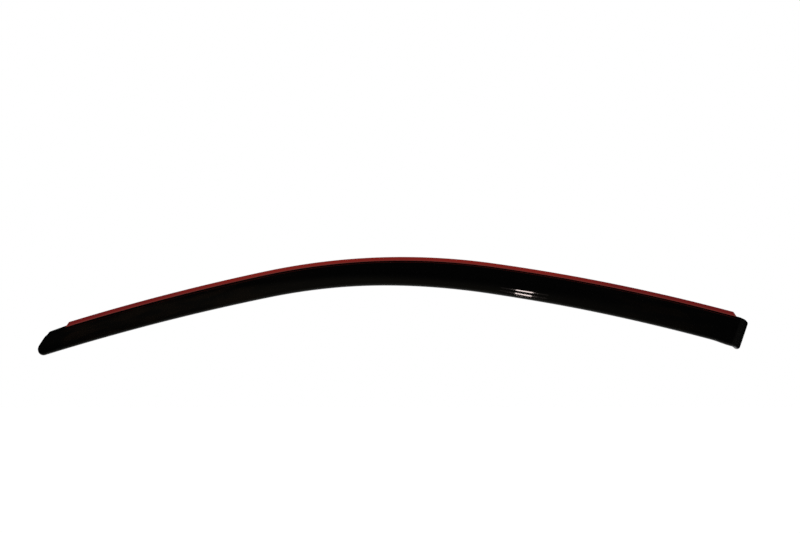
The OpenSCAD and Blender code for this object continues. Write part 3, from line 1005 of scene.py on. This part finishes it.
def floor_material():
    """Pale floor that shows nearly white and still takes a soft shadow."""
    material = bpy.data.materials.new("studio_floor")
    material.use_nodes = True
    tree = material.node_tree
    tree.nodes.remove(tree.nodes["Principled BSDF"])
    paint = add_node(tree, "ShaderNodeBsdfDiffuse", in_Color=FLOOR_PAINT)
    glow = add_node(tree, "ShaderNodeEmission", in_Strength=FLOOR_GLOW)
    both = tree.nodes.new("ShaderNodeMixShader")
    tree.links.new(combine(tree, "MULTIPLY", seen_directly(tree), FLOOR_SHOWN), both.inputs[0])
    tree.links.new(paint.outputs[0], both.inputs[1])
    tree.links.new(glow.outputs[0], both.inputs[2])
    tree.links.new(both.outputs[0], tree.nodes["Material Output"].inputs["Surface"])
    return material


def room_world(light):
    """Room that is white behind the object and lights it evenly all round. Glossy rays find it
    dark, with a faint glow in front of the object that fades at five edges."""
    world = bpy.data.worlds.new("studio_room")
    world.use_nodes = True
    tree = world.node_tree
    background = tree.nodes["Background"]
    direction = tree.nodes.new("ShaderNodeTexCoord").outputs["Generated"]
    share = 1.0
    for axis, start, full in GLOW_EDGES:
        reach = add_node(tree, "ShaderNodeVectorMath", operation="DOT_PRODUCT")
        reach.inputs[1].default_value = axis
        tree.links.new(direction, reach.inputs[0])
        edge = smooth_ramp(tree, reach.outputs["Value"], start, full)
        share = combine(tree, "MULTIPLY", share, edge.outputs["Result"])
    walls = mix(tree, share, DARK_WALLS, GLOW)
    path = tree.nodes.new("ShaderNodeLightPath")
    room = mix(tree, path.outputs["Is Glossy Ray"], (light, light, light), walls)
    shown = mix(tree, path.outputs["Is Camera Ray"], room, (1, 1, 1))
    tree.links.new(shown, background.inputs["Color"])
    return world


class DEFLECTOR_OT_stage(bpy.types.Operator):
    """Set up the floor, the room, the lamps and the camera."""

    bl_idname = "deflector.stage"
    bl_label = "Studio"

    def execute(self, context):
        scene = context.scene
        studio = scene.deflector_studio
        half = studio.floor_span / 2
        corners = [(-half, -half), (half, -half), (half, half), (-half, half)]
        mesh = bpy.data.meshes.new("studio_floor")
        mesh.from_pydata([(x, y, -studio.floor_drop) for x, y in corners], [], [(0, 1, 2, 3)])
        mesh.materials.append(floor_material())
        floor = bpy.data.objects.new("studio_floor", mesh)
        scene.collection.objects.link(floor)
        scene.world = room_world(studio.room_light)
        for index, (place_at, width, height) in enumerate(SOFT_LAMPS):
            lamp = area_lamp(f"soft_lamp_{index}", place_at, (0, 0, 0), width, height,
                             studio.lamp_power)
            lamp.visible_glossy = False
        for index, ((direction, roll), width, height, brightness) in enumerate(STREAK_LAMPS):
            place_at = STREAK_FROM + Vector(direction).normalized() * STREAK_DISTANCE
            power = studio.streak_level * brightness * math.pi * width * height
            lamp = area_lamp(f"streak_lamp_{index}", place_at, STREAK_FROM, width, height, power)
            lamp.rotation_euler.rotate_axis("Z", math.radians(roll))
            lamp.data.color = STREAK_COLOUR
        camera = bpy.data.objects.new("camera", bpy.data.cameras.new("camera"))
        scene.collection.objects.link(camera)
        eye = Vector(studio.eye)
        aim(camera, eye, eye + Vector((0, 1, 0)))
        camera.data.sensor_width = SENSOR
        camera.data.lens = studio.focal_length
        scene.camera = camera
        scene.view_settings.view_transform = "Standard"
        return {"FINISHED"}


class DEFLECTOR_PT_panel(bpy.types.Panel):
    """Sizes, finishes and build steps of the deflector."""

    bl_idname = "DEFLECTOR_PT_panel"
    bl_label = "Rain deflector"
    bl_space_type = "VIEW_3D"
    bl_region_type = "UI"
    bl_category = "Deflector"

    def draw(self, context):
        for name in GROUPS:
            box = self.layout.box()
            group = getattr(context.scene, name)
            for key in group.__annotations__:
                box.prop(group, key)
        for step in STEPS:
            self.layout.operator(step.bl_idname)


GROUPS = {
    "deflector_sheet": SheetSizes,
    "deflector_tape": TapeSizes,
    "deflector_steps": MeshSteps,
    "deflector_looks": Finishes,
    "deflector_studio": StudioSet,
}
STEPS = [DEFLECTOR_OT_blade, DEFLECTOR_OT_tape, DEFLECTOR_OT_liner, DEFLECTOR_OT_stage]


def register():
    """Register the classes and hang their values on the scene."""
    for cls in [*GROUPS.values(), *STEPS, DEFLECTOR_PT_panel]:
        bpy.utils.register_class(cls)
    for name, cls in GROUPS.items():
        setattr(bpy.types.Scene, name, PointerProperty(type=cls))


def unregister():
    """Take the values off the scene and unregister the classes."""
    for name in GROUPS:
        delattr(bpy.types.Scene, name)
    for cls in reversed([*GROUPS.values(), *STEPS, DEFLECTOR_PT_panel]):
        bpy.utils.unregister_class(cls)


def main():
    """Build the deflector and its studio."""
    register()
    bpy.ops.deflector.blade()
    bpy.ops.deflector.tape()
    bpy.ops.deflector.liner()
    bpy.ops.deflector.stage()


if __name__ == "__main__":
    main()
